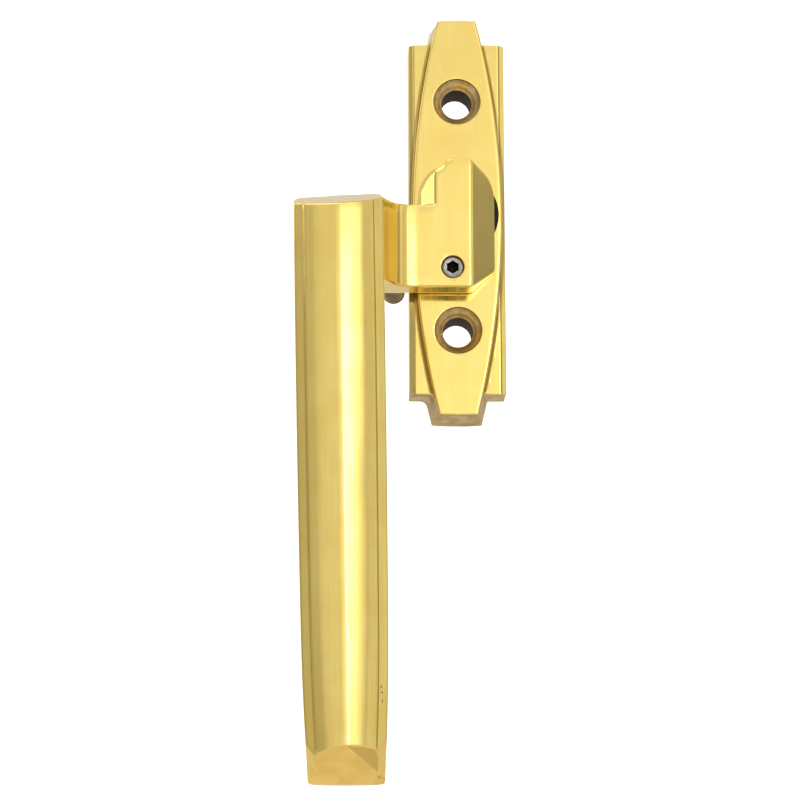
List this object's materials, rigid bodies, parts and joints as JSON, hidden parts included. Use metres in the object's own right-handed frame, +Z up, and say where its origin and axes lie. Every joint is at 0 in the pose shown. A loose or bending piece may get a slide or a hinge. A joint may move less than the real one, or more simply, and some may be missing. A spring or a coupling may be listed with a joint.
{
  "type": "espagnolette window handle",
  "caption": "Left-hand lockable cranked window handle in polished cast brass: a ridged grip on a pivoting head over a stepped backplate, with a square spindle behind.",
  "frame": {"origin": "on the pivot axis, at the backplate's back face, midway between the two fixing holes", "axes": "+Y along the spindle into the window, so the front of the handle faces -Y; +Z up, along the backplate and opposite to the hanging grip; +X to the right as seen from the front"},
  "size_m": [0.0386, 0.0725, 0.1423],
  "materials": {
    "polished_brass": "polished, unlacquered, with faint upright polishing marks",
    "raw_brass": "rough and dull, as cast",
    "stainless_steel": "turned, satin",
    "spring_steel": "dark, oiled",
    "zinc_steel": "bright zinc plated",
    "black_nylon": "moulded, slightly shiny"
  },
  "bodies": {
    "plate": {"backplate": "polished_brass", "pivot_bush": "black_nylon", "pivot_washer": "black_nylon", "thrust_washer_front": "stainless_steel", "disc_spring": "spring_steel", "thrust_washer_rear": "stainless_steel", "click_spring_left": "spring_steel", "click_spring_right": "spring_steel", "rear_cover": "zinc_steel", "cover_screw_upper": "zinc_steel", "cover_screw_lower": "zinc_steel"},
    "lever": {"lever_casting": "polished_brass", "rest_peg": "raw_brass", "pivot_spigot": "stainless_steel", "spigot_key": "spring_steel", "spindle_pin": "spring_steel", "spindle": "zinc_steel", "retaining_ring": "spring_steel", "click_cam": "zinc_steel"},
    "lock_screw": {"lock_screw": "stainless_steel"}
  },
  "joints": [
    {"name": "lever_turn", "type": "hinge", "parent": "plate", "child": "lever", "pos_m": [0, 0, 0], "axis": [0, 1, 0], "range_deg": [0, 90], "deforming": ["click_spring_left", "click_spring_right"]},
    {"name": "lock_slide", "type": "slide", "parent": "lever", "child": "lock_screw", "axis": [0, 1, 0], "range_m": [0, 0.002]}
  ]
}
